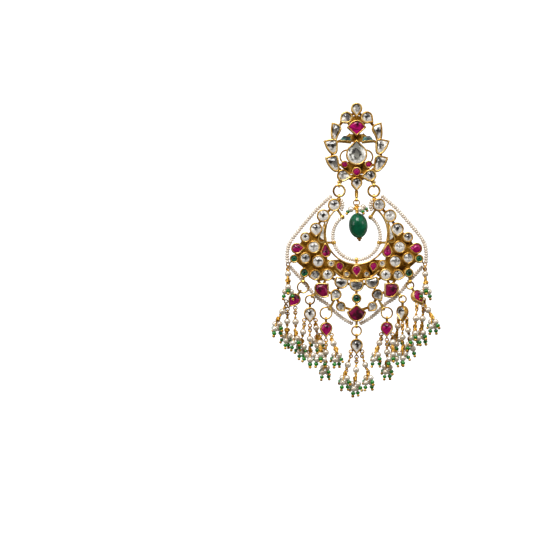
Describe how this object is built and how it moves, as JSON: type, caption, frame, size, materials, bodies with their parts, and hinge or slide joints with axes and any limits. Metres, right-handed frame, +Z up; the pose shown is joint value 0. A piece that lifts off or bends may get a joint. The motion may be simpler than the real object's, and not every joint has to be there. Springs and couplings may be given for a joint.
{
  "type": "chandbali earring",
  "caption": "Long chandbali earring: a petalled stud carries a gem-set crescent on jump rings, with an emerald drop in its opening and pearl tassels below.",
  "frame": {"origin": "where the ear post meets the flat back of the stud, which rests on the ear lobe", "axes": "+Z up, the front faces -Y, the ear post points along +Y, +X is to the right as seen from the front"},
  "size_m": [0.0644, 0.0173, 0.1116],
  "materials": {
    "gold": "antique gold plate, satin with darker recesses",
    "crystal": "clear foil-backed cut stone",
    "ruby": "clear foil-backed red-pink stone",
    "emerald": "clear foil-backed green stone",
    "emerald_bead": "polished deep green bead",
    "pearl": "cream pearl lustre"
  },
  "bodies": {
    "stud": {"stud_frame": "gold", "ear_post": "gold", "stud_crystals": "crystal", "stud_centre_crystal": "crystal", "stud_ruby_fan": "ruby", "stud_rubies": "ruby", "wing_left": "emerald", "wing_right": "emerald"},
    "crescent": {"jump_ring_left": "gold", "jump_ring_right": "gold", "crescent_frame": "gold", "crescent_crystals": "crystal", "leaf_crystal_left": "crystal", "leaf_crystal_right": "crystal", "crescent_rubies": "ruby", "crescent_emeralds": "emerald", "ruby_square_left": "ruby", "ruby_square_right": "ruby", "ruby_kite": "ruby", "inner_strand": "pearl", "outer_strand_left": "pearl", "outer_strand_right": "pearl", "lower_strand_left": "pearl", "lower_strand_right": "pearl", "pendant_1_ring": "gold", "pendant_1_setting": "gold", "pendant_1_stone": "ruby", "pendant_2_ring": "gold", "pendant_2_setting": "gold", "pendant_2_stone": "crystal", "pendant_3_ring": "gold", "pendant_3_setting": "gold", "pendant_3_stone": "ruby", "pendant_4_ring": "gold", "pendant_4_setting": "gold", "pendant_4_stone": "crystal", "pendant_5_ring": "gold", "pendant_5_setting": "gold", "pendant_5_stone": "ruby", "pendant_6_ring": "gold", "pendant_6_setting": "gold", "pendant_6_stone": "crystal", "pendant_7_ring": "gold", "pendant_7_setting": "gold", "pendant_7_stone": "ruby", "tassel_wires_far_left": "gold", "tassel_wires_left": "gold", "tassel_wires_centre": "gold", "tassel_wires_right": "gold", "tassel_wires_far_right": "gold", "tassel_pearls_far_left": "pearl", "tassel_pearls_left": "pearl", "tassel_pearls_centre": "pearl", "tassel_pearls_right": "pearl", "tassel_pearls_far_right": "pearl"},
    "drop": {"drop_ring": "gold", "drop_pin": "gold", "drop_bead": "emerald_bead", "drop_pearls": "pearl"}
  },
  "joints": [
    {"name": "crescent_swing", "type": "hinge", "parent": "stud", "child": "crescent", "pos_m": [0, -0.0011, -0.01343], "axis": [1, 0, 0], "range_deg": [-60, 60]},
    {"name": "drop_swing", "type": "hinge", "parent": "stud", "child": "drop", "pos_m": [0, -0.0011, -0.01894], "axis": [1, 0, 0], "range_deg": [-60, 60]}
  ]
}
